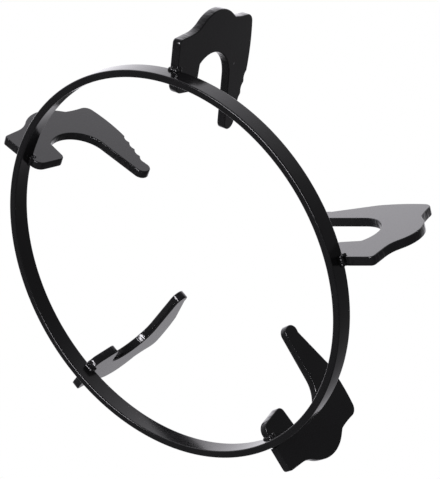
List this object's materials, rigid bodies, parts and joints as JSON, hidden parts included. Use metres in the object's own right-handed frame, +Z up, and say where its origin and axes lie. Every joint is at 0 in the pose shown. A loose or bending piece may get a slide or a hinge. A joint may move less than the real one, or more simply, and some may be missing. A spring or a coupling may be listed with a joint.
{
  "type": "gas stove pot stand",
  "caption": "Free-standing pot stand for a gas stove: a hoop of flat bar with plate claws welded on edge round it, whose scalloped fingers reach in over the burner.",
  "frame": {"origin": "on the hoop's axis, level with the hoop's lower edge, which rests on the stove", "axes": "+Z up along the hoop's axis, towards the claws; +X out through the first claw's seat"},
  "size_m": [0.2117, 0.2203, 0.0659],
  "materials": {
    "hoop_enamel": "gloss black enamel",
    "claw_enamel": "gloss black enamel",
    "weld_enamel": "gloss black enamel over a rough weld"
  },
  "bodies": {
    "root": {"hoop": "hoop_enamel", "claw_1": "claw_enamel", "claw_2": "claw_enamel", "claw_3": "claw_enamel", "claw_4": "claw_enamel", "claw_5": "claw_enamel", "weld_1": "weld_enamel", "weld_2": "weld_enamel", "weld_3": "weld_enamel", "weld_4": "weld_enamel", "weld_5": "weld_enamel"}
  },
  "joints": []
}
